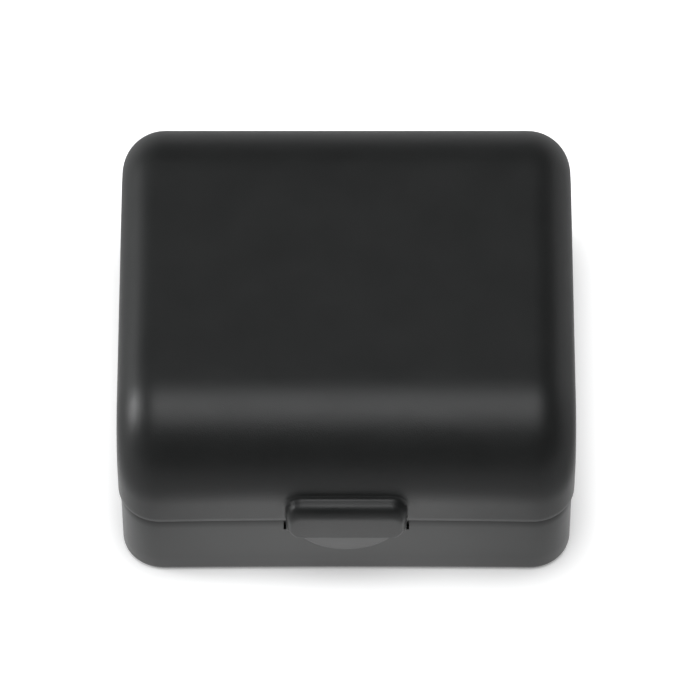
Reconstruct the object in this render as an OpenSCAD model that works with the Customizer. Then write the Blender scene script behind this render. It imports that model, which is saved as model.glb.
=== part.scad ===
// Pocket watercolour box: a hinged moulded case that holds twelve half pans in a rack, a fold-out
// mixing palette, a travel brush, a sponge and a small water flask clipped under the lid.
// Millimetres. +X is to the right, +Y to the back where the hinge is, +Z up.
// The origin is on the table, under the middle of the closed case.

/* [Case] */
// Width of the lid
case_w = 88; // [88:1:96]
// Depth of the lid from its front wall to its back wall
case_d = 82; // [82:1:88]
// Height of the closed case
case_h = 43; // [43:1:48]
// Height of the line where the lid meets the base
seam_z = 18.5; // [18.5:0.5:19.5]
// Wall of the lid
wall = 2; // [1.6:0.1:2.2]
// Floor of the base
floor_t = 2; // [1.6:0.1:2]
// How far the base stands in from the lid on each side
base_inset = 0.45; // [0.2:0.05:0.6]
// Radius of the lid's front shoulder
front_r = 17.5; // [14:0.5:18]
// Radius of the lid's back shoulder
back_r = 15; // [12:0.5:16]
// Radius of the lid's side shoulders and of the case's upright corners
side_r = 8.4; // [7:0.1:9]
// Radius of the bottom edge of the base
foot_r = 1.5; // [0.5:0.1:2]

/* [Rim and latch] */
// Height of the rim that stands up inside the lid
tongue_h = 1.6; // [1:0.1:2]
// Thickness of that rim
tongue_t = 1; // [0.8:0.1:1.2]
// Gap around that rim
tongue_gap = 0.2; // [0.1:0.05:0.3]
// Width of the latch grip
grip_w = 23.2; // [18:0.1:26]
// How far the latch grip stands out from the lid
grip_out = 2.9; // [2:0.1:3.4]
// Height of the top of the latch grip
grip_top = 27; // [26:0.5:29]
// Height of the bottom of the latch grip
grip_bottom = 17.3; // [17:0.1:18]
// Depth of the notch in the base's rim, below the seam
notch_drop = 3.8; // [3.5:0.1:4.2]
// Radius of the crowned thumb pad under the latch
pad_r = 10.1; // [9:0.1:12]
// How far the middle of the pad rises above its edge
pad_crown = 1; // [0.5:0.1:1.2]

/* [Hinge] */
// Radius of a hinge knuckle
knuckle_r = 2.2; // [2:0.1:2.4]
// Radius of the steel hinge pins
pin_r = 0.8; // [0.6:0.1:1]
// Distance of each hinge from the middle of the case
hinge_x = 24; // [20:1:28]
// Width of the lid's knuckle in each hinge
lid_knuckle_w = 9; // [6:1:10]
// Width of each of the base's knuckles
base_knuckle_w = 5; // [4:1:6]

/* [Pans] */
// Columns of pans
pan_columns = 4; // [4:1:4]
// Rows of pans
pan_rows = 3; // [3:1:3]
// Width of a half pan
pan_w = 19; // [18.6:0.1:19]
// Depth of a half pan
pan_d = 15.8; // [15.4:0.1:15.8]
// Height of a half pan
pan_h = 10.5; // [10:0.1:10.5]
// Wall of a half pan
pan_t = 0.9; // [0.7:0.1:1]
// How far the paint lies below the pan's edge
paint_drop = 1.4; // [0.8:0.1:2]

/* [Palette] */
// Thickness of the palette's plate and wells
leaf_t = 1.2; // [1:0.1:1.2]
// Depth of a mixing well below the plate
well_drop = 3.5; // [2.5:0.1:3.5]
// Columns of mixing wells
well_columns = 3; // [2:1:4]
// Rows of mixing wells
well_rows = 2; // [1:1:3]

/* [Brush and sponge] */
// Radius of the brush's handle at its thickest
handle_r = 3.5; // [3:0.1:3.6]
// Length of the handle
handle_l = 41; // [36:1:41]
// Length of the ferrule that shows
ferrule_l = 13; // [10:1:13]
// Length of the hair that shows
hair_l = 13; // [10:1:13]
// Length of the sponge
sponge_l = 42; // [36:1:42]

/* [Water flask] */
// Length of the flask's body
flask_l = 50; // [44:1:52]
// Radius of the flask
flask_r = 7.5; // [7:0.1:7.5]
// Wall of the flask
flask_wall = 1; // [0.8:0.1:1.2]
// Radius of the flask's screw cap
cap_r = 6.8; // [6.6:0.1:7.2]
// Length of the screw cap
cap_l = 9; // [8:0.5:10]

/* [Hidden] */
CASE_BLACK = [0.09, 0.095, 0.095];
RACK_BLACK = [0.13, 0.13, 0.135];
WHITE = [0.93, 0.93, 0.91];
STEEL = [0.72, 0.73, 0.74];
CLEAR = [0.8, 0.88, 0.92, 0.4];
CAP_BLUE = [0.16, 0.3, 0.5];

// Each paint's name and its colour as a dried cake
PAINTS = [
    ["lemon_yellow", [0.95, 0.85, 0.12]],
    ["golden_yellow", [0.93, 0.62, 0.06]],
    ["orange", [0.87, 0.32, 0.05]],
    ["scarlet", [0.74, 0.09, 0.06]],
    ["crimson", [0.45, 0.03, 0.09]],
    ["violet", [0.22, 0.07, 0.28]],
    ["ultramarine", [0.06, 0.09, 0.45]],
    ["sky_blue", [0.05, 0.3, 0.55]],
    ["emerald", [0.02, 0.33, 0.2]],
    ["olive_green", [0.2, 0.26, 0.05]],
    ["yellow_ochre", [0.66, 0.42, 0.12]],
    ["burnt_sienna", [0.35, 0.13, 0.06]]
];

SMOOTH = 64;         // facets of a full circle where a surface stays round
SHOULDER_STEPS = 8;  // steps across a shoulder of the lid
SLAB = 0.01;         // thickness of the slices that the rounded shells are stretched over
CUT = 1;             // how far a cut runs past the face it opens

// Rim that stands up inside the lid, and the space inside it
tongue_w = case_w - 2 * (wall + tongue_gap);
tongue_d = case_d - 2 * (wall + tongue_gap);
tongue_r = side_r - wall - tongue_gap;
inside_w = tongue_w - 2 * tongue_t;
inside_d = tongue_d - 2 * tongue_t;
inside_r = tongue_r - tongue_t;
lid_roof_z = case_h - wall;

// Latch: the flap hangs from the lid's front wall into the notch, and its ridge snaps into the groove
front_y = -case_d / 2;
flap_t = 1.6;
flap_gap = 0.25;
notch_w = grip_w + 1;
notch_back_y = front_y + flap_t + flap_gap;
notch_z = seam_z - notch_drop;
flap_z = notch_z + 0.5;
ridge_out = 0.45;
ridge_w = 14;

// Hinge axis, as far behind the case as the latch grip is in front of it
hinge_y = case_d / 2 + grip_out - knuckle_r;
hinge_gap = 0.25;
relief_r = knuckle_r + 0.3;
running_gap = 0.05;
pin_l = lid_knuckle_w + 2 * (hinge_gap + base_knuckle_w);

// Rack with the pans at the back, and tray with the brush and sponge bays at the front
rack_gap = 0.3;
rack_w = inside_w - 2 * rack_gap;
rack_d = inside_d - 2 * rack_gap;
rack_top = floor_t + 11.2;
rack_floor = 1.2;
rack_rim = 1.2;
front_rim = 2.8;
bay_floor_z = floor_t + rack_floor;
pocket_gap = 0.1;
pocket_w = pan_w + 2 * pocket_gap;
pocket_d = pan_d + 2 * pocket_gap;
pan_pitch_x = pocket_w + 0.8;
pan_pitch_y = pocket_d + 0.9;
back_pocket_y = rack_d / 2 - rack_rim - pocket_d / 2;
front_pocket_edge = back_pocket_y - (pan_rows - 1) * pan_pitch_y - pocket_d / 2;
bay_w = rack_w - 2 * rack_rim;
brush_bay_d = 7.8;
brush_y = -rack_d / 2 + front_rim + brush_bay_d / 2;
sponge_bay_front = brush_y + brush_bay_d / 2 + 0.9;
rack_front = front_pocket_edge - 0.8;
tray_back = rack_front - 0.1;
sponge_bay_back = tray_back - 0.9;
sponge_bay_d = sponge_bay_back - sponge_bay_front;
sponge_y = (sponge_bay_front + sponge_bay_back) / 2;
sponge_bay_l = sponge_l + 1.2;
sponge_bay_x = -bay_w / 2 + sponge_bay_l / 2;
mix_bay_l = bay_w - sponge_bay_l - 1.2;
mix_bay_x = bay_w / 2 - mix_bay_l / 2;

// Palette: closed it lies wells down over the pans, and turned over it rests on the front rim
leaf_z = rack_top + 1.2;
leaf_axis_y = -inside_d / 2 + 2.2;
leaf_axis_z = (seam_z + tongue_h + 0.2 + leaf_z + leaf_t) / 2;
leaf_front = -inside_d / 2 + 4.4;
leaf_back = 24;
leaf_w = inside_w - 2.6;
leaf_r = 5;
barrel_r = 1.7;
barrel_web = 1;
ear_r = 1.8;
ear_t = 2.6;
ear_x = 35.6;
barrel_l = 2 * (ear_x - ear_t / 2 - 0.3);
rod_l = 2 * ear_x + ear_t;
wells_front = leaf_front + 5.2;
well_pitch_x = (leaf_w - 4) / well_columns;
well_pitch_y = (leaf_back - 2 - wells_front) / well_rows;
well_w = well_pitch_x - 2.6;
well_d = well_pitch_y - 2.6;
lip_w = 14;
lip_h = 2.4;

// Brush, lying along its bay
brush_z = bay_floor_z + handle_r;
brush_left = -(handle_l + ferrule_l + hair_l) / 2;
ferrule_r = 2.4;
hair_r = 2;

// Flask, lying along the lid's front shoulder with its neck to the right
flask_y = front_y + 12.6;
flask_z = case_h - 12.6;
flask_left = -34;
flask_shoulder_l = 4;
neck_left = flask_left + flask_l;
neck_r = 5;
neck_bore_r = 3.6;
cap_left = neck_left + 0.6;
cap_top_t = 1.4;
cap_gap = 0.3;
liner_t = 0.9;
neck_right = cap_left + cap_l - cap_top_t - liner_t - 0.1;
clip_t = 1.3;
clip_w = 7;
clip_mouth = 58;
clip_places = [flask_left + 8, neck_left - 13];

// Points of an arc about [a, b] from one angle to another
function arc(a, b, r, from, to, steps) =
    [for (i = [0:steps]) let (t = from + (to - from) * i / steps) [a + r * cos(t), b + r * sin(t)]];

// Centre of pocket i, counted from the left at the back
function pocket_place(i) = [
    (i % pan_columns - (pan_columns - 1) / 2) * pan_pitch_x,
    back_pocket_y - floor(i / pan_columns) * pan_pitch_y
];

module rounded_rect(w, d, r) {
    square([w - 2 * r, d], center = true);
    square([w, d - 2 * r], center = true);
    for (x = [-1, 1], y = [-1, 1])
        translate([x * (w / 2 - r), y * (d / 2 - r)]) circle(r, $fn = SMOOTH);
}

// Block with upright edges of radius r, centred on x and y and standing on z
module rounded_block(w, d, h, r, z = 0) {
    translate([0, 0, z]) linear_extrude(h) rounded_rect(w, d, r);
}

// Cylinder along X, centred on x
module bar_x(x, y, z, r, l) {
    translate([x, y, z]) rotate([0, 90, 0]) cylinder(r = r, h = l, center = true, $fn = SMOOTH);
}

// Prism along X, centred on x, of an outline given in Y and Z
module prism_x(x, l) {
    translate([x, 0, 0]) rotate([90, 0, 90]) linear_extrude(l, center = true) children();
}

// Side outline of the lid, drawn so that its shoulders have the radius left after the side roll
module lid_outline(roll, bottom_z) {
    polygon(concat(
        [[front_y + side_r - roll, bottom_z]],
        arc(front_y + front_r, case_h - front_r, front_r - side_r + roll, 180, 90, 14),
        arc(-front_y - back_r, case_h - back_r, back_r - side_r + roll, 90, 0, 12),
        [[-front_y - side_r + roll, bottom_z]]
    ));
}

// The lid's domed form, skin in from its outside on every face but the open bottom
module lid_form(skin, bottom_z) {
    r = side_r - skin;
    hull() {
        prism_x(0, case_w - 2 * side_r) lid_outline(r, bottom_z);
        for (side = [-1, 1], i = [1:SHOULDER_STEPS])
            let (t = 90 * i / SHOULDER_STEPS, x = case_w / 2 - side_r + r * sin(t) - SLAB / 2)
                prism_x(side * x, SLAB) lid_outline(r * cos(t), bottom_z);
    }
}

// The base's outside, with its bottom edge rolled
module base_form() {
    w = case_w - 2 * base_inset;
    d = case_d - 2 * base_inset;
    r = side_r - base_inset;
    hull() {
        for (i = [0:3])
            let (t = 90 * i / 4, in = foot_r * (1 - sin(t)))
                rounded_block(w - 2 * in, d - 2 * in, SLAB, r - in, foot_r * (1 - cos(t)));
        rounded_block(w, d, seam_z - foot_r, r, foot_r);
    }
}

// Places its children at each hinge
module at_hinges() {
    for (side = [-1, 1]) translate([side * hinge_x, 0, 0]) children();
}

module lid_knuckle() {
    bar_x(0, hinge_y, seam_z, knuckle_r, lid_knuckle_w);
    prism_x(0, lid_knuckle_w) polygon([
        [-front_y - 0.5, seam_z + 0.1],
        [hinge_y + knuckle_r - 0.1, seam_z + 0.1],
        [hinge_y + knuckle_r - 0.4, seam_z + 1.1],
        [-front_y, seam_z + 5],
        [-front_y - 0.5, seam_z + 5]
    ]);
}

module base_knuckles() {
    for (side = [-1, 1])
        translate([side * (lid_knuckle_w / 2 + hinge_gap + base_knuckle_w / 2), 0, 0]) {
            bar_x(0, hinge_y, seam_z, knuckle_r, base_knuckle_w);
            prism_x(0, base_knuckle_w) polygon([
                [-front_y - base_inset - 0.5, seam_z],
                [hinge_y + knuckle_r - 0.1, seam_z],
                [hinge_y + knuckle_r - 0.4, seam_z - 1.1],
                [-front_y - base_inset, seam_z - 5.3],
                [-front_y - base_inset - 0.5, seam_z - 5.3]
            ]);
        }
}

// Grip and flap of the latch, as one outline drawn out along X, with the grip's upper corners round
module latch() {
    r = 1.2;
    corner_r = 3;
    reach = 20;
    intersection() {
        prism_x(0, grip_w) polygon(concat(
            [
                [front_y + flap_t, flap_z],
                [front_y + 0.4, flap_z],
                [front_y, flap_z + 0.4],
                [front_y, grip_bottom],
                [front_y - grip_out + 1.5, grip_bottom],
                [front_y - grip_out + 1, grip_bottom + 0.5]
            ],
            arc(front_y - grip_out + r, grip_top - r, r, 175, 90, 6),
            [[front_y + 0.8, grip_top], [front_y + flap_t, grip_top - 1]]
        ));
        translate([0, front_y + reach / 2, grip_top - reach / 2]) rotate([90, 0, 0])
            linear_extrude(reach) rounded_rect(grip_w, reach, corner_r);
    }
    prism_x(0, ridge_w) polygon([
        [front_y + flap_t - 0.1, flap_z + 0.2],
        [front_y + flap_t + ridge_out, flap_z + 0.7],
        [front_y + flap_t + ridge_out, flap_z + 0.9],
        [front_y + flap_t - 0.1, flap_z + 1.5]
    ]);
}

module lid_shell() {
    color(CASE_BLACK) difference() {
        union() {
            difference() {
                lid_form(0, seam_z);
                lid_form(wall, seam_z - CUT);
            }
            latch();
            at_hinges() lid_knuckle();
        }
        at_hinges() {
            bar_x(0, hinge_y, seam_z, pin_r + running_gap, pin_l);
            for (side = [-1, 1])
                bar_x(side * (lid_knuckle_w + hinge_gap + base_knuckle_w) / 2 + side * hinge_gap / 2,
                      hinge_y, seam_z, relief_r, base_knuckle_w + 2 * hinge_gap);
        }
    }
}

module base_shell() {
    color(CASE_BLACK) difference() {
        union() {
            base_form();
            rounded_block(tongue_w, tongue_d, tongue_h + CUT, tongue_r, seam_z - CUT);
            at_hinges() base_knuckles();
            thumb_pad();
        }
        rounded_block(inside_w, inside_d, seam_z, inside_r, floor_t);
        latch_notch();
        at_hinges() {
            bar_x(0, hinge_y, seam_z, pin_r, pin_l);
            bar_x(0, hinge_y, seam_z, relief_r, lid_knuckle_w + 2 * hinge_gap);
        }
    }
}

// Crowned round pad on the front of the base, for the thumb that lifts the latch
module thumb_pad() {
    pad_step = 0.25;
    pad_y = front_y + base_inset;
    pad_z = seam_z - 0.4;
    ball_r = (pad_r * pad_r + pad_crown * pad_crown) / (2 * pad_crown);
    intersection() {
        translate([0, pad_y + 1, pad_z]) rotate([90, 0, 0]) cylinder(r = pad_r, h = 4, $fn = SMOOTH);
        translate([0, pad_y - pad_step + ball_r - pad_crown, pad_z]) sphere(ball_r, $fn = 2 * SMOOTH);
    }
}

// What the latch needs cut from the front of the base: notch and groove for the ridge
module latch_notch() {
    groove_h = 2;
    reach = 4;
    translate([-notch_w / 2, front_y - reach, notch_z])
        cube([notch_w, notch_back_y - front_y + reach, 2 * pad_r]);
    translate([-ridge_w / 2 - 0.3, notch_back_y - 0.1, flap_z - 0.1])
        cube([ridge_w + 0.6, ridge_out + 0.1, groove_h]);
}

module hinge_pin(side) {
    color(STEEL) bar_x(side * hinge_x, hinge_y, seam_z, pin_r, pin_l);
}

// The part of the rack's block that lies between two distances from the middle
module rack_block(front, back) {
    intersection() {
        rounded_block(rack_w, rack_d, rack_top - floor_t, inside_r - rack_gap, floor_t);
        translate([-rack_w, front, 0]) cube([2 * rack_w, back - front, rack_top + CUT]);
    }
}

module pan_rack() {
    color(RACK_BLACK) difference() {
        rack_block(rack_front, rack_d);
        for (i = [0:len(PAINTS) - 1])
            translate(pocket_place(i)) rounded_block(pocket_w, pocket_d, pan_h, 1.5, bay_floor_z);
    }
}

module brush_tray() {
    color(RACK_BLACK) difference() {
        union() {
            rack_block(-rack_d, tray_back);
            for (side = [-1, 1]) {
                bar_x(side * ear_x, leaf_axis_y, leaf_axis_z, ear_r, ear_t);
                translate([side * ear_x - ear_t / 2, leaf_axis_y - ear_r, rack_top - 2])
                    cube([ear_t, 2 * ear_r, leaf_axis_z - rack_top + 2]);
            }
        }
        translate([0, brush_y, 0]) rounded_block(bay_w, brush_bay_d, pan_h, 2, bay_floor_z);
        translate([sponge_bay_x, sponge_y, 0])
            rounded_block(sponge_bay_l, sponge_bay_d, pan_h, 2, bay_floor_z);
        translate([mix_bay_x, sponge_y, 0])
            rounded_block(mix_bay_l, sponge_bay_d, pan_h, 2, bay_floor_z + 0.6);
        bar_x(0, leaf_axis_y, leaf_axis_z, pin_r, rod_l + 2);
    }
}

// Places its children at the middle of each mixing well
module at_wells() {
    for (i = [0:well_columns - 1], j = [0:well_rows - 1])
        translate([(i - (well_columns - 1) / 2) * well_pitch_x, wells_front + (j + 0.5) * well_pitch_y, 0])
            children();
}

// The palette as it lies when the box is closed: its wells open downwards
module palette_leaf() {
    d = leaf_back - leaf_front;
    web_y = leaf_axis_y + barrel_r - barrel_web;
    color(WHITE) difference() {
        union() {
            translate([0, leaf_front + d / 2, 0]) rounded_block(leaf_w, d, leaf_t, leaf_r, leaf_z);
            at_wells() rounded_block(well_w + 2 * leaf_t, well_d + 2 * leaf_t, leaf_t + well_drop, 4, leaf_z);
            bar_x(0, leaf_axis_y, leaf_axis_z, barrel_r, barrel_l);
            translate([-barrel_l / 2, web_y, leaf_z]) cube([barrel_l, barrel_web, leaf_axis_z - leaf_z]);
            translate([-barrel_l / 2, web_y, leaf_z]) cube([barrel_l, leaf_front - web_y + 1, leaf_t]);
            translate([-lip_w / 2, leaf_back - 1, leaf_z]) cube([lip_w, 1, leaf_t + lip_h]);
        }
        at_wells() rounded_block(well_w, well_d, well_drop + CUT, 2.8, leaf_z - CUT);
        bar_x(0, leaf_axis_y, leaf_axis_z, pin_r + running_gap, barrel_l + 2);
    }
}

module palette_rod() {
    color(STEEL) bar_x(0, leaf_axis_y, leaf_axis_z, pin_r, rod_l);
}

module pan_cup(i) {
    color(WHITE) translate(pocket_place(i)) difference() {
        rounded_block(pan_w, pan_d, pan_h, 1.4, bay_floor_z);
        rounded_block(pan_w - 2 * pan_t, pan_d - 2 * pan_t, pan_h, 0.9, bay_floor_z + pan_t);
    }
}

module paint_cake(i) {
    color(PAINTS[i][1]) translate(pocket_place(i))
        rounded_block(pan_w - 2 * pan_t, pan_d - 2 * pan_t, pan_h - pan_t - paint_drop, 0.9,
                      bay_floor_z + pan_t);
}

// Turned shape along X, of an outline given as radius and distance from its left end
module turned(x, y, z) {
    translate([x, y, z]) rotate([0, 90, 0]) rotate_extrude($fn = SMOOTH) children();
}

module brush_handle() {
    tip_r = 1.8;
    color(RACK_BLACK) turned(brush_left, brush_y, brush_z) polygon([
        [0, 0], [tip_r * 0.6, 0], [tip_r, 0.8], [2.6, handle_l * 0.3], [handle_r, handle_l * 0.72],
        [handle_r, handle_l * 0.86], [ferrule_r, handle_l], [0, handle_l]
    ]);
}

module brush_ferrule() {
    color(STEEL) turned(brush_left + handle_l, brush_y, brush_z) polygon([
        [0, 0], [ferrule_r, 0], [ferrule_r, ferrule_l * 0.3], [hair_r, ferrule_l], [0, ferrule_l]
    ]);
}

module brush_hair() {
    color([0.4, 0.2, 0.09]) turned(brush_left + handle_l + ferrule_l, brush_y, brush_z) polygon([
        [0, 0], [hair_r - 0.1, 0], [hair_r + 0.2, hair_l * 0.35], [hair_r * 0.7, hair_l * 0.7],
        [0.3, hair_l], [0, hair_l]
    ]);
}

module sponge() {
    color([0.93, 0.83, 0.5]) translate([sponge_bay_x, sponge_y, 0])
        rounded_block(sponge_l, sponge_bay_d - 0.6, 9, 2, bay_floor_z);
}

module flask_body() {
    shoulder = flask_l - flask_shoulder_l;
    inner_r = flask_r - flask_wall;
    color(CLEAR) turned(flask_left, flask_y, flask_z) difference() {
        polygon([
            [0, 0], [flask_r - 1, 0], [flask_r, 1], [flask_r, shoulder], [neck_r, flask_l],
            [neck_r, neck_right - flask_left], [0, neck_right - flask_left]
        ]);
        polygon([
            [0, flask_wall], [inner_r, flask_wall], [inner_r, shoulder], [neck_bore_r, flask_l],
            [neck_bore_r, neck_right - flask_left + CUT], [0, neck_right - flask_left + CUT]
        ]);
    }
}

// Spring clips moulded to the lid's front shoulder, open towards the middle of the case
module flask_clips() {
    bore_r = flask_r + 0.05;
    color(CASE_BLACK) for (x = clip_places) difference() {
        intersection() {
            union() {
                bar_x(x, flask_y, flask_z, bore_r + clip_t, clip_w);
                translate([x, flask_y, flask_z]) rotate([45, 0, 0])
                    translate([-clip_w / 2, -5, 0]) cube([clip_w, 10, 20]);
            }
            prism_x(x, clip_w) lid_outline(side_r - wall, seam_z);
        }
        bar_x(x, flask_y, flask_z, bore_r, clip_w + 2);
        translate([0, flask_y, flask_z]) prism_x(x, clip_w + 2) polygon([
            [0, 0],
            20 * [cos(-45 - clip_mouth), sin(-45 - clip_mouth)],
            40 * [cos(-45), sin(-45)],
            20 * [cos(-45 + clip_mouth), sin(-45 + clip_mouth)]
        ]);
    }
}

module flask_cap() {
    bore_r = neck_r + cap_gap;
    color(CAP_BLUE) turned(cap_left, flask_y, flask_z) polygon([
        [bore_r, 0], [cap_r, 0], [cap_r, cap_l - 0.6], [cap_r - 0.6, cap_l], [0, cap_l],
        [0, cap_l - cap_top_t], [bore_r, cap_l - cap_top_t]
    ]);
}

module cap_liner() {
    color(WHITE) bar_x(cap_left + cap_l - cap_top_t - liner_t / 2, flask_y, flask_z,
                       neck_r + cap_gap, liner_t);
}

base_shell();
lid_shell();
hinge_pin(-1);  // hinge_pin_left
hinge_pin(1);  // hinge_pin_right
pan_rack();
brush_tray();
palette_leaf();
palette_rod();
brush_handle();
brush_ferrule();
brush_hair();
sponge();
flask_clips();
flask_body();
flask_cap();
cap_liner();
for (i = [0:len(PAINTS) - 1]) {
    pan_cup(i);
    paint_cake(i);
}
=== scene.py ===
"""Pocket watercolour box: black moulded clamshell, rack of half pans, fold-out mixing palette,
travel brush, sponge and a water flask clipped under the lid.
Sizes in this script are millimetres and become metres as each mesh is made."""

import math

import bmesh
import bpy
import numpy as np
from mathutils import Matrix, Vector, noise


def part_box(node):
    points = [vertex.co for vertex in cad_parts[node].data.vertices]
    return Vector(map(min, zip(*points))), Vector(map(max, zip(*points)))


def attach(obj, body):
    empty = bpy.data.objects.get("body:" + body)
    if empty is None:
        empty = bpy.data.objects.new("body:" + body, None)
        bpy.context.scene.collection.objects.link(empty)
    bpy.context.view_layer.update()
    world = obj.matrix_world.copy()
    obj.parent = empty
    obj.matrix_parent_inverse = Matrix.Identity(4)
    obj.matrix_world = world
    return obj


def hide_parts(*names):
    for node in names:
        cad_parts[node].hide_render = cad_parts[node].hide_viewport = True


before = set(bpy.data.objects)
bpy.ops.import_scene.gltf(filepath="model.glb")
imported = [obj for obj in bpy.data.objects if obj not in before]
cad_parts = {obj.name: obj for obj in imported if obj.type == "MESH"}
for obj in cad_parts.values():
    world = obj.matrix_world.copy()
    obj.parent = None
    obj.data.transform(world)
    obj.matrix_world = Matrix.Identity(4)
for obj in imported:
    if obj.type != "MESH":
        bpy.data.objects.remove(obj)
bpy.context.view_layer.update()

MM = 0.001
SEED = 7


# ---------------------------------------------------------------------------
# Sizes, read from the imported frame
# ---------------------------------------------------------------------------

def node_box(node):
    """Lowest and highest corner of a CAD node, in millimetres."""
    low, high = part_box(node)
    return [c / MM for c in low], [c / MM for c in high]


lid_low, lid_high = node_box("lid_shell")
base_low, base_high = node_box("base_shell")
pin_low, pin_high = node_box("hinge_pin_right")

CASE_W = lid_high[0] - lid_low[0]
CASE_D = 82.0
CASE_H = lid_high[2]
FRONT_Y = -CASE_D / 2
GRIP_OUT = FRONT_Y - lid_low[1]
SEAM_Z = 18.5
WALL = 2.0
FLOOR_T = 2.0
BASE_INSET = (CASE_W - (base_high[0] - base_low[0])) / 2
FRONT_R = 17.5
BACK_R = 15.0
SIDE_R = 8.4
FOOT_R = 1.5
TONGUE_H = 1.6
TONGUE_T = 1.0
TONGUE_GAP = 0.2

GRIP_W = 23.2
GRIP_TOP = 27.0
GRIP_BOTTOM = 17.3
FLAP_T = 1.6
FLAP_GAP = 0.25
NOTCH_Z = SEAM_Z - 3.8
FLAP_Z = NOTCH_Z + 0.5
NOTCH_W = GRIP_W + 1.0
PAD_R = 10.1
PAD_CROWN = 1.0
PAD_STEP = 0.06
PAD_Z = SEAM_Z - 0.4

HINGE_X = 24.0
HINGE_Y = (pin_low[1] + pin_high[1]) / 2
KNUCKLE_R = 2.2
RELIEF_R = 2.5
PIN_R = 0.8
LID_KNUCKLE_W = 9.0
BASE_KNUCKLE_W = 5.0
HINGE_GAP = 0.25


# ---------------------------------------------------------------------------
# Mesh helpers
# ---------------------------------------------------------------------------

def new_piece(name, points, faces):
    """Object with a mesh of points in millimetres."""
    mesh = bpy.data.meshes.new(name)
    mesh.from_pydata([(x * MM, y * MM, z * MM) for x, y, z in points], [], faces)
    mesh.update()
    piece = bpy.data.objects.new(name, mesh)
    bpy.context.scene.collection.objects.link(piece)
    return piece


def tidy(piece, weld=1e-7, outward=True):
    """Merges doubled points and turns the faces of a closed form outwards."""
    bm = bmesh.new()
    bm.from_mesh(piece.data)
    bmesh.ops.remove_doubles(bm, verts=bm.verts, dist=weld)
    bmesh.ops.dissolve_degenerate(bm, edges=bm.edges, dist=weld)
    if outward:
        bmesh.ops.recalc_face_normals(bm, faces=bm.faces)
    bm.to_mesh(piece.data)
    bm.free()
    return piece


def shade(piece, angle=38):
    """Smooth shading, sharp across edges that turn by more than angle."""
    piece.data.polygons.foreach_set("use_smooth", [True] * len(piece.data.polygons))
    piece.data.set_sharp_from_angle(angle=math.radians(angle))
    piece.data.update()
    return piece


def flatten(piece):
    """The evaluated mesh takes the place of the mesh and its modifiers."""
    graph = bpy.context.evaluated_depsgraph_get()
    mesh = bpy.data.meshes.new_from_object(piece.evaluated_get(graph))
    piece.modifiers.clear()
    piece.data = mesh
    return piece


def combine(piece, other, operation):
    """Adds other to piece, or cuts it away, and removes other."""
    step = piece.modifiers.new("combine", "BOOLEAN")
    step.operation = operation
    step.solver = "EXACT"
    step.object = other
    bpy.context.view_layer.update()
    flatten(piece)
    bpy.data.objects.remove(other)
    return piece


def gather(name, parts):
    """One object that holds the meshes of parts as they are."""
    bm = bmesh.new()
    for part in parts:
        bm.from_mesh(part.data)
        bpy.data.objects.remove(part)
    mesh = bpy.data.meshes.new(name)
    bm.to_mesh(mesh)
    bm.free()
    piece = bpy.data.objects.new(name, mesh)
    bpy.context.scene.collection.objects.link(piece)
    return piece


def finish_piece(piece, name, body, material, nodes, angle=38):
    """Names a finished mesh, gives it its material and hands it to its body."""
    piece.name = name
    piece.data.name = name
    piece.data.materials.clear()
    piece.data.materials.append(material)
    piece.data.validate()
    shade(piece, angle)
    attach(piece, body)
    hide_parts(*nodes)
    return piece


def ring(half_w, half_d, radius, z, centre=(0, 0), corner=10, along=12):
    """Points round a rounded rectangle, anticlockwise seen from above."""
    radius = max(radius, 0.02)
    cx, cy = centre
    turns = ((half_w - radius, half_d - radius, 0), (-half_w + radius, half_d - radius, 90),
             (-half_w + radius, -half_d + radius, 180), (half_w - radius, -half_d + radius, 270))
    points = []
    for i, (x, y, start) in enumerate(turns):
        for k in range(corner + 1):
            t = math.radians(start + 90 * k / corner)
            points.append((cx + x + radius * math.cos(t), cy + y + radius * math.sin(t), z))
        nx, ny, nstart = turns[(i + 1) % 4]
        t = math.radians(nstart)
        after = (cx + nx + radius * math.cos(t), cy + ny + radius * math.sin(t))
        last = points[-1]
        for k in range(1, along):
            f = k / along
            points.append((last[0] + (after[0] - last[0]) * f, last[1] + (after[1] - last[1]) * f, z))
    return points


def loft(name, rings):
    """Closed form through rings of equal counts, capped at the first and the last."""
    count = len(rings[0])
    points = [p for r in rings for p in r]
    faces = [tuple(reversed(range(count)))]
    for i in range(len(rings) - 1):
        for k in range(count):
            n = (k + 1) % count
            faces.append((i * count + k, i * count + n, (i + 1) * count + n, (i + 1) * count + k))
    faces.append(tuple(range((len(rings) - 1) * count, len(rings) * count)))
    return tidy(new_piece(name, points, faces))


def rounded_block(name, half_w, half_d, radius, low, high, edge=0.3, centre=(0, 0), steps=3,
                  corner=10, along=6):
    """Upright block with rounded corners and with its top and bottom edges rolled."""
    rings = []
    for i in range(steps + 1):
        t = math.pi / 2 * i / steps
        inset = edge * (1 - math.sin(t))
        rings.append(ring(half_w - inset, half_d - inset, radius - inset,
                          low + edge * (1 - math.cos(t)), centre, corner, along))
    for i in range(steps + 1):
        t = math.pi / 2 * i / steps
        inset = edge * (1 - math.cos(t))
        rings.append(ring(half_w - inset, half_d - inset, radius - inset,
                          high - edge * (1 - math.sin(t)), centre, corner, along))
    return loft(name, rings)


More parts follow.
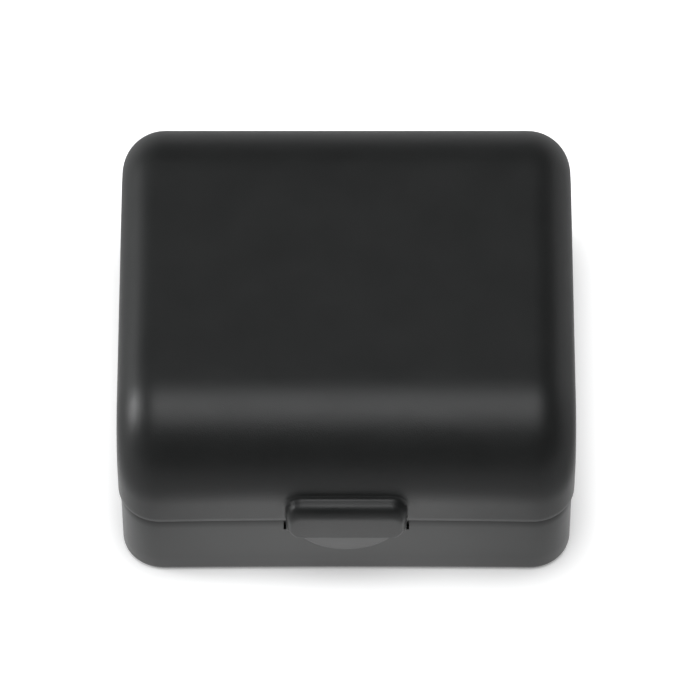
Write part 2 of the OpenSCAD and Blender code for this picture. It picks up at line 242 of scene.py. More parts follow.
def prism(name, outline, left, right, edge=0.0, segments=3):
    """Outline in Y and Z drawn out along X, with the edges of its two ends rounded."""
    count = len(outline)
    points = [(x, y, z) for x in (left, right) for y, z in outline]
    faces = [tuple(range(count)), tuple(range(2 * count - 1, count - 1, -1))]
    for k in range(count):
        n = (k + 1) % count
        faces.append((n, k, count + k, count + n))
    piece = tidy(new_piece(name, points, faces))
    if edge:
        bm = bmesh.new()
        bm.from_mesh(piece.data)
        rims = [e for e in bm.edges
                if abs(e.verts[0].co.x - e.verts[1].co.x) < 1e-7]
        bmesh.ops.bevel(bm, geom=rims, offset=edge * MM, segments=segments, profile=0.5,
                        affect="EDGES", clamp_overlap=True)
        bm.to_mesh(piece.data)
        bm.free()
    return piece


def lathe(name, outline, start, steps=64):
    """Turned form about a line along X through start, of an outline given as distance and radius.
    The outline runs from one end of the line to the other and may turn back inside for a bore."""
    x0, y0, z0 = start
    points, rows = [], []
    for along, radius in outline:
        if radius < 1e-6:
            rows.append([len(points)] * steps)
            points.append((x0 + along, y0, z0))
        else:
            row = []
            for k in range(steps):
                t = 2 * math.pi * k / steps
                row.append(len(points))
                points.append((x0 + along, y0 + radius * math.cos(t), z0 + radius * math.sin(t)))
            rows.append(row)
    faces = []
    for a, b in zip(rows, rows[1:]):
        for k in range(steps):
            n = (k + 1) % steps
            corners = []
            for index in (a[k], a[n], b[n], b[k]):
                if index not in corners:
                    corners.append(index)
            if len(corners) > 2:
                faces.append(tuple(corners))
    return tidy(new_piece(name, points, faces))


def arc(cy, cz, radius, start, stop, steps):
    return [(cy + radius * math.cos(math.radians(start + (stop - start) * i / steps)),
             cz + radius * math.sin(math.radians(start + (stop - start) * i / steps)))
            for i in range(steps + 1)]


def softened(node, name, width=0.2, segments=2, angle=35):
    """Copy of a CAD node with its hard edges rounded."""
    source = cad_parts[node]
    bm = bmesh.new()
    bm.from_mesh(source.data)
    bmesh.ops.remove_doubles(bm, verts=bm.verts, dist=2e-6)
    bmesh.ops.dissolve_limit(bm, angle_limit=math.radians(1.0), verts=bm.verts, edges=bm.edges)
    hard = [e for e in bm.edges if len(e.link_faces) == 2
            and e.calc_face_angle(0) > math.radians(angle)]
    bmesh.ops.bevel(bm, geom=hard, offset=width * MM, segments=segments, profile=0.5,
                    affect="EDGES", clamp_overlap=True)
    mesh = bpy.data.meshes.new(name)
    bm.to_mesh(mesh)
    bm.free()
    piece = bpy.data.objects.new(name, mesh)
    bpy.context.scene.collection.objects.link(piece)
    return piece


def move_points(piece, change):
    """Gives each point of a piece the place that change says, in millimetres."""
    for v in piece.data.vertices:
        x, y, z = change(v.co.x / MM, v.co.y / MM, v.co.z / MM)
        v.co = (x * MM, y * MM, z * MM)
    piece.data.update()
    return piece


def smoothstep(low, high, value):
    t = min(1.0, max(0.0, (value - low) / (high - low)))
    return t * t * (3 - 2 * t)


# ---------------------------------------------------------------------------
# Materials
# ---------------------------------------------------------------------------

def new_material(name):
    material = bpy.data.materials.new(name)
    material.use_nodes = True
    tree = material.node_tree
    tree.nodes.clear()
    out = tree.nodes.new("ShaderNodeOutputMaterial")
    shader = tree.nodes.new("ShaderNodeBsdfPrincipled")
    tree.links.new(shader.outputs["BSDF"], out.inputs["Surface"])
    place = tree.nodes.new("ShaderNodeTexCoord")
    return material, tree, shader, place.outputs["Object"]


def dial(node, values):
    """Constants for a node's named inputs."""
    for label, value in values.items():
        node.inputs[label].default_value = value


def noise_node(tree, place, scale, detail=2.0, roughness=0.5):
    node = tree.nodes.new("ShaderNodeTexNoise")
    dial(node, {"Scale": scale, "Detail": detail, "Roughness": roughness})
    tree.links.new(place, node.inputs["Vector"])
    return node.outputs["Fac"]


def ramp_node(tree, value, stops):
    node = tree.nodes.new("ShaderNodeValToRGB")
    band = node.color_ramp
    while len(band.elements) < len(stops):
        band.elements.new(0.5)
    for element, (position, colour) in zip(band.elements, stops):
        element.position = position
        element.color = (*colour, 1) if len(colour) == 3 else colour
    tree.links.new(value, node.inputs["Fac"])
    return node.outputs["Color"]


def range_node(tree, value, low, high, from_low=0.0, from_high=1.0):
    node = tree.nodes.new("ShaderNodeMapRange")
    dial(node, {"From Min": from_low, "From Max": from_high, "To Min": low, "To Max": high})
    tree.links.new(value, node.inputs["Value"])
    return node.outputs["Result"]


def math_node(tree, operation, a, b):
    node = tree.nodes.new("ShaderNodeMath")
    node.operation = operation
    for socket, value in zip(node.inputs, (a, b)):
        if isinstance(value, (int, float)):
            socket.default_value = value
        else:
            tree.links.new(value, socket)
    return node.outputs["Value"]


def bump_node(tree, height, depth, normal=None):
    """Bump whose height runs from 0 to 1 over depth millimetres."""
    node = tree.nodes.new("ShaderNodeBump")
    dial(node, {"Strength": 1.0, "Distance": depth * MM})
    tree.links.new(height, node.inputs["Height"])
    if normal is not None:
        tree.links.new(normal, node.inputs["Normal"])
    return node.outputs["Normal"]


def moulded_plastic(name, dark, light, rough, grain=0.16, depth=0.012, spread=0.05, specular=0.5,
                    coat=0.0, subsurface=0.0):
    """Moulded plastic: fine eroded grain, slow unevenness of the colour and of the gloss."""
    material, tree, shader, place = new_material(name)
    slow = noise_node(tree, place, 1 / (9 * MM), 3.0, 0.55)
    fine = noise_node(tree, place, 1 / (grain * MM), 2.0, 0.6)
    tree.links.new(ramp_node(tree, slow, [(0.3, dark), (0.7, light)]), shader.inputs["Base Color"])
    gloss = math_node(tree, "ADD", range_node(tree, slow, rough - spread, rough + spread, 0.3, 0.7),
                      range_node(tree, fine, -spread * 0.6, spread * 0.6, 0.3, 0.7))
    tree.links.new(gloss, shader.inputs["Roughness"])
    if depth:
        tree.links.new(bump_node(tree, fine, depth), shader.inputs["Normal"])
    dial(shader, {"Specular IOR Level": specular, "IOR": 1.5})
    if coat:
        dial(shader, {"Coat Weight": coat, "Coat Roughness": 0.12})
    if subsurface:
        dial(shader, {"Subsurface Weight": subsurface, "Subsurface Radius": (0.9, 0.8, 0.7),
                      "Subsurface Scale": 1.2 * MM})
    return material


def steel(name, colour, rough, grain=0.06):
    """Drawn metal with fine lines along X."""
    material, tree, shader, place = new_material(name)
    stretch = tree.nodes.new("ShaderNodeMapping")
    stretch.inputs["Scale"].default_value = (0.05, 1, 1)
    tree.links.new(place, stretch.inputs["Vector"])
    lines = noise_node(tree, stretch.outputs["Vector"], 1 / (grain * MM), 2.0, 0.5)
    slow = noise_node(tree, place, 1 / (3 * MM), 2.0, 0.5)
    darker = tuple(c * 0.82 for c in colour)
    tree.links.new(ramp_node(tree, slow, [(0.3, darker), (0.75, colour)]),
                   shader.inputs["Base Color"])
    tree.links.new(range_node(tree, lines, rough - 0.06, rough + 0.08, 0.3, 0.7),
                   shader.inputs["Roughness"])
    tree.links.new(bump_node(tree, lines, 0.002), shader.inputs["Normal"])
    shader.inputs["Metallic"].default_value = 1.0
    return material


def cake_material(name, colour, shift):
    """Cast watercolour cake: even colour at the rim, paler dry bloom and darker wet pools inside."""
    material, tree, shader, place = new_material(name)
    move = tree.nodes.new("ShaderNodeMapping")
    move.inputs["Location"].default_value = (shift * 0.013, shift * 0.007, 0)
    tree.links.new(place, move.inputs["Vector"])
    at = move.outputs["Vector"]
    pools = noise_node(tree, at, 1 / (5 * MM), 4.0, 0.6)
    crumbs = noise_node(tree, at, 1 / (0.35 * MM), 4.0, 0.65)
    deep = tuple(c * 0.55 for c in colour)
    bloom = tuple(min(1.0, c * 1.25 + 0.02) for c in colour)
    tree.links.new(ramp_node(tree, pools, [(0.3, deep), (0.52, colour), (0.78, bloom)]),
                   shader.inputs["Base Color"])
    tree.links.new(range_node(tree, pools, 0.24, 0.62, 0.35, 0.7), shader.inputs["Roughness"])
    height = math_node(tree, "ADD", range_node(tree, pools, 0, 1),
                       math_node(tree, "MULTIPLY", crumbs, 0.35))
    tree.links.new(bump_node(tree, height, 0.12), shader.inputs["Normal"])
    shader.inputs["Specular IOR Level"].default_value = 0.45
    return material


CASE_LID = moulded_plastic("case_plastic_lid", (0.0185, 0.0195, 0.0193), (0.021, 0.022, 0.0218),
                           0.4, grain=0.2, depth=0.032, spread=0.02)
CASE_BASE = moulded_plastic("case_plastic_base", (0.0195, 0.0205, 0.0205), (0.022, 0.023, 0.023),
                            0.36, grain=0.2, depth=0.01, spread=0.02)
RACK = moulded_plastic("rack_plastic", (0.013, 0.0135, 0.014), (0.019, 0.0195, 0.02), 0.4,
                       grain=0.25, depth=0.012)
PAN_WHITE = moulded_plastic("pan_plastic", (0.76, 0.755, 0.73), (0.83, 0.825, 0.8), 0.3,
                            grain=0.5, depth=0.004, subsurface=0.15)
PALETTE_WHITE = moulded_plastic("palette_plastic", (0.8, 0.8, 0.785), (0.86, 0.86, 0.845), 0.2,
                                grain=0.7, depth=0.004, spread=0.04, subsurface=0.15)
PIN_STEEL = steel("pin_steel", (0.56, 0.57, 0.58), 0.3)
NICKEL = steel("ferrule_nickel", (0.66, 0.64, 0.6), 0.17)
LACQUER = moulded_plastic("handle_lacquer", (0.012, 0.012, 0.013), (0.02, 0.019, 0.02), 0.22,
                          grain=0.8, depth=0.004, coat=0.8)
CAP_BLACK = moulded_plastic("cap_plastic", (0.02, 0.021, 0.022), (0.03, 0.031, 0.033), 0.4,
                            grain=0.25, depth=0.01)
FOAM = moulded_plastic("liner_foam", (0.7, 0.7, 0.68), (0.82, 0.82, 0.8), 0.8, grain=0.18,
                       depth=0.04)


# ---------------------------------------------------------------------------
# Case
# ---------------------------------------------------------------------------

def wall_sink(x, y, z):
    """The long walls draw in a little between their corners as the moulding cools."""
    across = max(0.0, 1 - (x / (CASE_W / 2 - 3)) ** 2)
    near = smoothstep(31, 37.5, abs(y))
    lid_fade = 1 - smoothstep(SEAM_Z, CASE_H - 6, z)
    base_fade = 0.45 + 0.55 * smoothstep(0, SEAM_Z, z)
    depth = 0.5 * across * near * (lid_fade if z > SEAM_Z else base_fade)
    return x, y - math.copysign(depth, y), z


def lid_surface(skin, edge):
    """Grid of the lid's domed surface, skin in from its outside: front wall, top and back wall as
    rows from the left roll to the right one, and the two flat sides. Returns points and faces and
    the loop of points round the open bottom."""
    radius = SIDE_R - skin
    front_core, back_core = FRONT_R - SIDE_R, BACK_R - SIDE_R
    front_c = (FRONT_Y + FRONT_R, CASE_H - FRONT_R)
    back_c = (-FRONT_Y - BACK_R, CASE_H - BACK_R)
    heights = [SEAM_Z, SEAM_Z + edge * 0.3, SEAM_Z + edge]
    heights += [SEAM_Z + edge + (front_c[1] - SEAM_Z - edge) * i / 7 for i in range(1, 8)]
    shrink = [edge, edge * 0.3] + [0.0] * 40
    turn = 16
    heights += [front_c[1] + front_core * math.sin(math.pi / 2 * i / turn) for i in range(1, turn + 1)]
    top_z = heights[-1]
    top_steps = 22

    def front_at(z):
        if z <= front_c[1]:
            return FRONT_Y + SIDE_R, -1.0, 0.0
        s = min(1.0, (z - front_c[1]) / front_core)
        c = math.sqrt(max(0.0, 1 - s * s))
        return front_c[0] - front_core * c, -c, s

    def back_at(z):
        if z <= back_c[1]:
            return -FRONT_Y - SIDE_R, 1.0, 0.0
        s = min(1.0, (z - back_c[1]) / back_core)
        c = math.sqrt(max(0.0, 1 - s * s))
        return back_c[0] + back_core * c, c, s

    profile = []
    for z, inset in zip(heights, shrink):
        y, ny, nz = front_at(z)
        profile.append((y, z, ny, nz, radius - inset))
    for i in range(1, top_steps):
        y = front_c[0] + (back_c[0] - front_c[0]) * i / top_steps
        profile.append((y, top_z, 0.0, 1.0, radius))
    for z, inset in reversed(list(zip(heights, shrink))):
        y, ny, nz = back_at(z)
        profile.append((y, z, ny, nz, radius - inset))

    roll, middle = 12, 36
    columns = [(-1, math.pi / 2 * (1 - i / roll)) for i in range(roll)]
    columns += [(-1 + 2 * i / middle, 0.0) for i in range(middle + 1)]
    columns += [(1, math.pi / 2 * i / roll) for i in range(1, roll + 1)]
    points, faces = [], []
    half = CASE_W / 2 - SIDE_R
    wide = len(columns)
    for y, z, ny, nz, r in profile:
        for side, t in columns:
            x = side * half if t == 0 else side * (half + r * math.sin(t))
            points.append((x, y + ny * r * math.cos(t), z + nz * r * math.cos(t)))
    for i in range(len(profile) - 1):
        for k in range(wide - 1):
            a = i * wide + k
            faces.append((a, a + 1, a + wide + 1, a + wide))
    levels = len(heights)
    bottom_sides = {}
    for side in (-1, 1):
        start = len(points)
        span = top_steps + 1
        for i in range(levels):
            r = radius - shrink[i]
            y0, y1 = front_at(heights[i])[0], back_at(heights[i])[0]
            for k in range(span):
                f = (profile[levels - 1 + k][0] - front_c[0]) / (back_c[0] - front_c[0]) if k else 0.0
                points.append((side * (half + r), y0 + (y1 - y0) * f, heights[i]))
        for i in range(levels - 1):
            for k in range(span - 1):
                a = start + i * span + k
                faces.append((a, a + 1, a + span + 1, a + span))
        bottom_sides[side] = [start + k for k in range(span)]
    front_row = list(range(wide))
    back_row = [(len(profile) - 1) * wide + k for k in range(wide)]
    loop = (front_row + bottom_sides[1][1:-1] + back_row[::-1] + bottom_sides[-1][::-1][1:-1])
    return points, faces, loop


def make_lid_blank():
    outer, outer_faces, outer_loop = lid_surface(0.0, 0.28)
    inner, inner_faces, inner_loop = lid_surface(WALL, -0.2)
    count = len(outer)
    points = outer + inner
    faces = outer_faces + [tuple(i + count for i in f) for f in inner_faces]
    total = len(outer_loop)
    for k in range(total):
        n = (k + 1) % total
        faces.append((outer_loop[k], outer_loop[n], inner_loop[n] + count, inner_loop[k] + count))
    piece = tidy(new_piece("lid_blank", points, faces), weld=1e-6)
    return move_points(piece, wall_sink)


def lid_front_at(x, z):
    """Depth of the lid's sunk front wall at x and z."""
    rise = max(0.0, z - (CASE_H - FRONT_R))
    y = FRONT_Y + FRONT_R - math.sqrt(FRONT_R ** 2 - rise ** 2)
    return wall_sink(x, y, z)[1]


def make_latch():
    """Grip with round shoulders, faired into the lid around it, and the flap that hangs below."""
    fillet, crown_deep, crown_tall, corner, steps = 0.7, 2.1, 2.9, 3.2, 8
    half = GRIP_W / 2
    full = GRIP_OUT + 0.15
    stages = [(fillet + 0.15, -0.5), (fillet, 0.0)]
    for i in range(1, 5):
        t = math.pi / 2 * i / 4
        stages.append((fillet * (1 - math.sin(t)), fillet * (1 - math.cos(t))))
    for i in range(1, steps + 1):
        t = math.pi / 2 * i / steps
        stages.append((-crown_tall * (1 - math.cos(t)), full - crown_deep * (1 - math.sin(t))))
    stages.append((-crown_tall - 0.5, full))
    stages.append((-crown_tall - 1.5, full))
    rings = []
    for out, height in stages:
        aside = out if out > 0 else out * 0.42
        low = GRIP_BOTTOM + max(0.0, -out) * 0.14
        high = GRIP_TOP + out
        flat = ring(half + aside, (high - low) / 2, corner + aside, 0, (0, (high + low) / 2), 12, 16)
        share = min(1.0, max(0.0, height / full))
        row = []
        for x, z, _ in flat:
            reach = half + max(aside, 0) * smoothstep(SEAM_Z + 0.1, SEAM_Z + 1.3, z)
            x = math.copysign(min(abs(x), reach), x)
            root = lid_front_at(x, z) * (1 - share) + (FRONT_Y + 0.15) * share
            row.append((x, root - height, z))
        rings.append(row)
    rings.insert(0, [(x, FRONT_Y + 1.2, z) for x, y, z in rings[0]])
    grip = loft("latch", rings)
    flap = prism("flap", [
        (FRONT_Y + FLAP_T, FLAP_Z), (FRONT_Y + 0.45, FLAP_Z),
        *arc(FRONT_Y + 0.4, FLAP_Z + 0.4, 0.4, 270, 180, 4),
        (FRONT_Y, GRIP_BOTTOM + 2.5), (FRONT_Y + FLAP_T, GRIP_BOTTOM + 3.5)],
        -half, half, edge=0.3, segments=3)
    ridge = prism("latch_ridge", [
        (FRONT_Y + FLAP_T - 0.2, FLAP_Z + 0.2), (FRONT_Y + FLAP_T + 0.45, FLAP_Z + 0.7),
        (FRONT_Y + FLAP_T + 0.45, FLAP_Z + 0.9), (FRONT_Y + FLAP_T - 0.2, FLAP_Z + 1.5)],
        -7, 7, edge=0.1)
    return combine(combine(grip, flap, "UNION"), ridge, "UNION")


def bar(name, x, radius, length, edge=0.0):
    """Round bar about the hinge axis."""
    half = length / 2
    if edge:
        outline = [(-half, 0), (-half, radius - edge), (-half + edge * 0.3, radius - edge * 0.3),
                   (-half + edge, radius), (half - edge, radius),
                   (half - edge * 0.3, radius - edge * 0.3), (half, radius - edge), (half, 0)]
    else:
        outline = [(-half, 0), (-half, radius), (half, radius), (half, 0)]
    return lathe(name, outline, (x, HINGE_Y, SEAM_Z), 48)


def make_lid_shell():
    lid = make_lid_blank()
    combine(lid, make_latch(), "UNION")
    for side in (-1, 1):
        x = side * HINGE_X
        half = LID_KNUCKLE_W / 2
        combine(lid, bar("knuckle", x, KNUCKLE_R, LID_KNUCKLE_W, 0.25), "UNION")
        combine(lid, prism("knuckle_web", [
            (-FRONT_Y - 0.8, SEAM_Z + 0.12), (HINGE_Y + KNUCKLE_R - 0.12, SEAM_Z + 0.12),
            (HINGE_Y + KNUCKLE_R - 0.4, SEAM_Z + 1.1), (-FRONT_Y - 0.05, SEAM_Z + 5),
            (-FRONT_Y - 0.8, SEAM_Z + 5)], x - half, x + half, edge=0.2), "UNION")
        combine(lid, bar("bore", x, PIN_R + 0.05, 20), "DIFFERENCE")
        for end in (-1, 1):
            cut = bar("relief", x + end * (half + HINGE_GAP / 2 + BASE_KNUCKLE_W / 2 + 0.125),
                      RELIEF_R, BASE_KNUCKLE_W + 2 * HINGE_GAP)
            combine(lid, cut, "DIFFERENCE")
    return finish_piece(tidy(lid, outward=False), "lid_shell_moulding", "lid",
                        CASE_LID, ["lid_shell"], 34)


def make_base_blank():
    """Base as one loft: rolled foot, wall, ledge of the seam, rim, cavity and floor."""
    def level(inset, z):
        return ring(CASE_W / 2 - inset, CASE_D / 2 - inset, SIDE_R - inset, z, corner=14, along=30)

    rings = []
    for i in range(6):
        t = math.pi / 2 * i / 5
        rings.append(level(BASE_INSET + FOOT_R * (1 - math.sin(t)), FOOT_R * (1 - math.cos(t))))
    rings += [level(BASE_INSET, z) for z in (5, 8.5, 12, 15.5, SEAM_Z - 0.3)]
    rings += [level(BASE_INSET + 0.08, SEAM_Z - 0.09), level(BASE_INSET + 0.28, SEAM_Z)]
    outer = WALL + TONGUE_GAP
    inner = outer + TONGUE_T
    top = SEAM_Z + TONGUE_H
    rings += [level(outer, SEAM_Z), level(outer, top - 0.3), level(outer + 0.3, top),
              level(inner - 0.2, top), level(inner, top - 0.2), level(inner, SEAM_Z - 0.2)]
    rings += [level(inner, 12), level(inner, FLOOR_T + 0.25), level(inner + 0.25, FLOOR_T)]
    return move_points(loft("base_blank", rings), wall_sink)


def pad_disc(name, stages):
    """Disc about the thumb pad's middle, of stages given as radius and distance forwards."""
    face = FRONT_Y + BASE_INSET + 0.36
    count = 160
    points = [(r * math.cos(2 * math.pi * k / count), face - out,
               PAD_Z + r * math.sin(2 * math.pi * k / count))
              for r, out in stages for k in range(count)]
    faces = []
    for i in range(len(stages) - 1):
        for k in range(count):
            n = (k + 1) % count
            faces.append((i * count + k, i * count + n, (i + 1) * count + n, (i + 1) * count + k))
    faces += [tuple(range(count)), tuple(range((len(stages) - 1) * count, len(stages) * count))]
    return tidy(new_piece(name, points, faces))


def make_thumb_pad():
    """Crowned round pad with a small step at its edge, cut off level with the notch's floor."""
    ball_r = (PAD_R ** 2 + PAD_CROWN ** 2) / (2 * PAD_CROWN)
    rise = PAD_STEP + 0.36
    stages = [(PAD_R, -0.8), (PAD_R, rise - 0.08), (PAD_R - 0.03, rise - 0.02)]
    for i in range(17):
        r = (PAD_R - 0.1) * (1 - i / 17)
        stages.append((r, rise + math.sqrt(ball_r ** 2 - r ** 2) - (ball_r - PAD_CROWN)))
    return pad_disc("thumb_pad", stages)


def make_base_shell():
    base = make_base_blank()
    for side in (-1, 1):
        for end in (-1, 1):
            x = side * HINGE_X + end * (LID_KNUCKLE_W / 2 + HINGE_GAP + BASE_KNUCKLE_W / 2)
            half = BASE_KNUCKLE_W / 2
            combine(base, bar("knuckle", x, KNUCKLE_R, BASE_KNUCKLE_W, 0.25), "UNION")
            combine(base, prism("knuckle_web", [
                (-FRONT_Y - BASE_INSET - 0.8, SEAM_Z - 0.02),
                (HINGE_Y + KNUCKLE_R - 0.12, SEAM_Z - 0.02),
                (HINGE_Y + KNUCKLE_R - 0.4, SEAM_Z - 1.1),
                (-FRONT_Y - BASE_INSET - 0.05, SEAM_Z - 5.3),
                (-FRONT_Y - BASE_INSET - 0.8, SEAM_Z - 5.3)], x - half, x + half, edge=0.2), "UNION")
        combine(base, bar("bore", side * HINGE_X, PIN_R, 19.4), "DIFFERENCE")
        combine(base, bar("relief", side * HINGE_X, RELIEF_R, LID_KNUCKLE_W + 2 * HINGE_GAP),
                "DIFFERENCE")
    back = FRONT_Y + FLAP_T + FLAP_GAP
    combine(base, pad_disc("pad_groove", [(PAD_R + 0.4, -0.7), (PAD_R + 0.4, 3)]), "DIFFERENCE")
    combine(base, make_thumb_pad(), "UNION")
    notch = prism("notch", [(FRONT_Y - 4, NOTCH_Z), (back, NOTCH_Z), (back, PAD_Z + 14),
                            (FRONT_Y - 4, PAD_Z + 14)], -NOTCH_W / 2, NOTCH_W / 2)
    combine(base, notch, "DIFFERENCE")
    groove = prism("groove", [(back - 0.1, FLAP_Z - 0.1), (back + 0.45, FLAP_Z - 0.1),
                              (back + 0.45, FLAP_Z + 1.9), (back - 0.1, FLAP_Z + 1.9)], -7.3, 7.3)
    combine(base, groove, "DIFFERENCE")
    return finish_piece(tidy(base, outward=False), "base_shell_moulding", "base",
                        CASE_BASE, ["base_shell"], 34)


lid_shell = make_lid_shell()
base_shell = make_base_shell()


# ---------------------------------------------------------------------------
# Rack, tray and clips: CAD shape with moulded edges
# ---------------------------------------------------------------------------

finish_piece(softened("pan_rack", "pan_rack_moulding", 0.18), "pan_rack_moulding", "base",
             RACK, ["pan_rack"], 30)
finish_piece(softened("brush_tray", "brush_tray_moulding", 0.22), "brush_tray_moulding", "base",
             RACK, ["brush_tray"], 30)
finish_piece(softened("flask_clips", "flask_clips_moulding", 0.18), "flask_clips_moulding", "lid",
             CASE_BASE, ["flask_clips"], 30)


# ---------------------------------------------------------------------------
# Half pans and their paint
# ---------------------------------------------------------------------------

PAN_WALL = 0.9
PAINTS = {
    "lemon_yellow": (0.86, 0.7, 0.035), "golden_yellow": (0.84, 0.4, 0.02),
    "orange": (0.72, 0.14, 0.012), "scarlet": (0.5, 0.022, 0.014),
    "crimson": (0.17, 0.006, 0.022), "violet": (0.05, 0.01, 0.085),
    "ultramarine": (0.01, 0.018, 0.2), "sky_blue": (0.008, 0.09, 0.27),
    "emerald": (0.005, 0.12, 0.055), "olive_green": (0.055, 0.075, 0.01),
    "yellow_ochre": (0.4, 0.18, 0.025), "burnt_sienna": (0.12, 0.026, 0.01),
}


def node_middle(low, high):
    """Middle of a box seen from above."""
    return (low[0] + high[0]) / 2, (low[1] + high[1]) / 2


def make_cup(paint):
    """Half pan with a drafted wall, a thickened lip and a rolled foot."""
    low, high = node_box("cup_" + paint)
    centre = node_middle(low, high)
    half_w, half_d = (high[0] - low[0]) / 2, (high[1] - low[1]) / 2
    floor, top = low[2], high[2]

    def level(inset, z, radius):
        return ring(half_w - inset, half_d - inset, radius, z, centre, 8, 6)

    rings = [level(1.0, floor, 0.9), level(0.65, floor + 0.08, 1.1), level(0.5, floor + 0.45, 1.2),
             level(0.24, top - 1.35, 1.3), level(0.2, top - 1.2, 1.3), level(0.05, top - 1.02, 1.4),
             level(0.0, top - 0.9, 1.4), level(0.0, top - 0.2, 1.4), level(0.06, top - 0.06, 1.35),
             level(0.2, top, 1.3), level(PAN_WALL - 0.2, top, 1.0),
             level(PAN_WALL - 0.06, top - 0.06, 0.93), level(PAN_WALL, top - 0.2, 0.9),
             level(PAN_WALL, floor + PAN_WALL + 0.3, 0.9),
             level(PAN_WALL + 0.3, floor + PAN_WALL, 0.7)]
    finish_piece(loft("cup", rings), "half_pan_" + paint, "base", PAN_WHITE,
                 ["cup_" + paint], 40)


def make_cake(paint, number):
    """Cast cake: climbs the pan's wall at its rim, sinks in the middle, worn hollow by the brush."""
    low, high = node_box("paint_" + paint)
    centre = node_middle(low, high)
    half_w, half_d = (high[0] - low[0]) / 2 - 0.02, (high[1] - low[1]) / 2 - 0.02
    bottom, top = low[2] + 0.02, high[2]
    wear = 0.35 + 0.55 * ((number * 5) % 7) / 6
    dip_x = centre[0] + 2.6 * math.sin(number * 2.3)
    dip_y = centre[1] + 1.8 * math.cos(number * 1.7)

    def surface(x, y, inset):
        climb = 0.42 * math.exp(-inset / 0.5) - 0.16 * (1 - math.exp(-inset / 1.6))
        hollow = wear * math.exp(-((x - dip_x) ** 2 / 16 + (y - dip_y) ** 2 / 9))
        fine = noise.noise(Vector((x * 0.55, y * 0.55, number * 3.1))) * 0.16
        grain = noise.noise(Vector((x * 2.1, y * 2.1, number * 7.7))) * 0.05
        return top - 0.1 + climb + (fine + grain - hollow) * (1 - math.exp(-inset / 0.9))

    rings = [ring(half_w, half_d, 0.88, z, centre, 6, 16) for z in (bottom, (bottom + top) / 2)]
    insets = [0.0, 0.08, 0.2, 0.38, 0.6, 0.9, 1.3, 1.8, 2.3, 2.8, 3.4, 4.0, 4.6, 5.2, 5.8, 6.4, 6.8]
    for inset in insets:
        flat = ring(half_w - inset, half_d - inset, max(0.1, 0.88 - inset * 0.6), 0, centre, 6, 16)
        rings.append([(x, y, surface(x, y, inset)) for x, y, _ in flat])
    finish_piece(loft("cake", rings), "cake_" + paint, "base",
                 cake_material("paint_" + paint, PAINTS[paint], number), ["paint_" + paint], 60)


for index, paint_name in enumerate(PAINTS):
    make_cup(paint_name)
    make_cake(paint_name, index)


# ---------------------------------------------------------------------------
# Palette
# ---------------------------------------------------------------------------

def make_palette():
    """Folding leaf with six dished wells, hinge barrel on a web, and a finger lip."""
    low, high = node_box("palette_leaf")
    plate_z, plate_t = low[2], 1.2
    barrel_y, barrel_z, barrel_r = low[1] + 1.7, 17.95, 1.7
    front, back = -33.4, high[1]
    half_w = (high[0] - low[0]) / 2
    pitch_x, pitch_y = (2 * half_w - 4) / 3, (back - 2 - front - 5.2) / 2
    drop = high[2] - plate_z - plate_t
    leaf = rounded_block("palette", half_w, (back - front) / 2, 5, plate_z, plate_z + plate_t, 0.35,
                         (0, (front + back) / 2), steps=4, along=12)
    domes, wells = [], []
    for column in (-1, 0, 1):
        for row in (0, 1):
            at = (column * pitch_x, front + 5.2 + (row + 0.5) * pitch_y)
            half_x, half_y = (pitch_x - 2.6) / 2, (pitch_y - 2.6) / 2
            top = plate_z + plate_t + drop
            rings = [ring(half_x + plate_t, half_y + plate_t, 4, plate_z + 0.5, at, 10, 8)]
            for i in range(7):
                t = math.pi / 2 * i / 6
                inset = 2.4 * (1 - math.cos(t))
                rings.append(ring(half_x + plate_t - 0.02 - inset, half_y + plate_t - 0.02 - inset,
                                  4 - inset, top - 2.4 * (1 - math.sin(t)), at, 10, 8))
            domes.append(loft("dome", rings))
            rings = [ring(half_x + 0.3, half_y + 0.3, 3.3, plate_z - 1, at, 10, 8),
                     ring(half_x + 0.3, half_y + 0.3, 3.3, plate_z - 0.02, at, 10, 8),
                     ring(half_x + 0.09, half_y + 0.09, 3.1, plate_z + 0.09, at, 10, 8),
                     ring(half_x, half_y, 3, plate_z + 0.3, at, 10, 8)]
            for i in range(1, 8):
                t = math.pi / 2 * i / 7
                inset = 2.6 * (1 - math.cos(t))
                rings.append(ring(half_x - inset, half_y - inset, 3 - inset,
                                  plate_z + drop - 2.6 * (1 - math.sin(t)), at, 10, 8))
            wells.append(loft("well", rings))
    for dome in domes:
        combine(leaf, dome, "UNION")
    combine(leaf, gather("wells", wells), "DIFFERENCE")
    web_y = barrel_y + barrel_r - 1
    combine(leaf, prism("web", [
        (web_y, barrel_z), (web_y, plate_z + 0.3), (web_y + 0.3, plate_z), (front + 1, plate_z),
        (front + 1, plate_z + plate_t), (web_y + 0.95, plate_z + plate_t),
        (web_y + 0.95, barrel_z)], -34, 34, 0.2), "UNION")
    barrel = lathe("barrel", [(0, 0), (0, 1.5), (0.2, barrel_r), (67.8, barrel_r), (68, 1.5), (68, 0)],
                   (-34, barrel_y, barrel_z), 48)
    combine(leaf, barrel, "UNION")
    combine(leaf, prism("lip", [
        (back - 1, plate_z + 0.4), (back - 0.02, plate_z + 0.4), (back - 0.02, plate_z + 3.2),
        (back - 0.2, plate_z + 3.55), (back - 0.5, plate_z + 3.6), (back - 0.8, plate_z + 3.55),
        (back - 1, plate_z + 3.2)], -7, 7, 0.4), "UNION")
    combine(leaf, lathe("bore", [(0, 0), (0, PIN_R + 0.05), (76, PIN_R + 0.05), (76, 0)],
                        (-38, barrel_y, barrel_z), 32), "DIFFERENCE")
    finish_piece(tidy(leaf, outward=False), "palette_leaf_moulding", "palette",
                 PALETTE_WHITE, ["palette_leaf"], 34)


make_palette()


# ---------------------------------------------------------------------------
# Brush
# ---------------------------------------------------------------------------

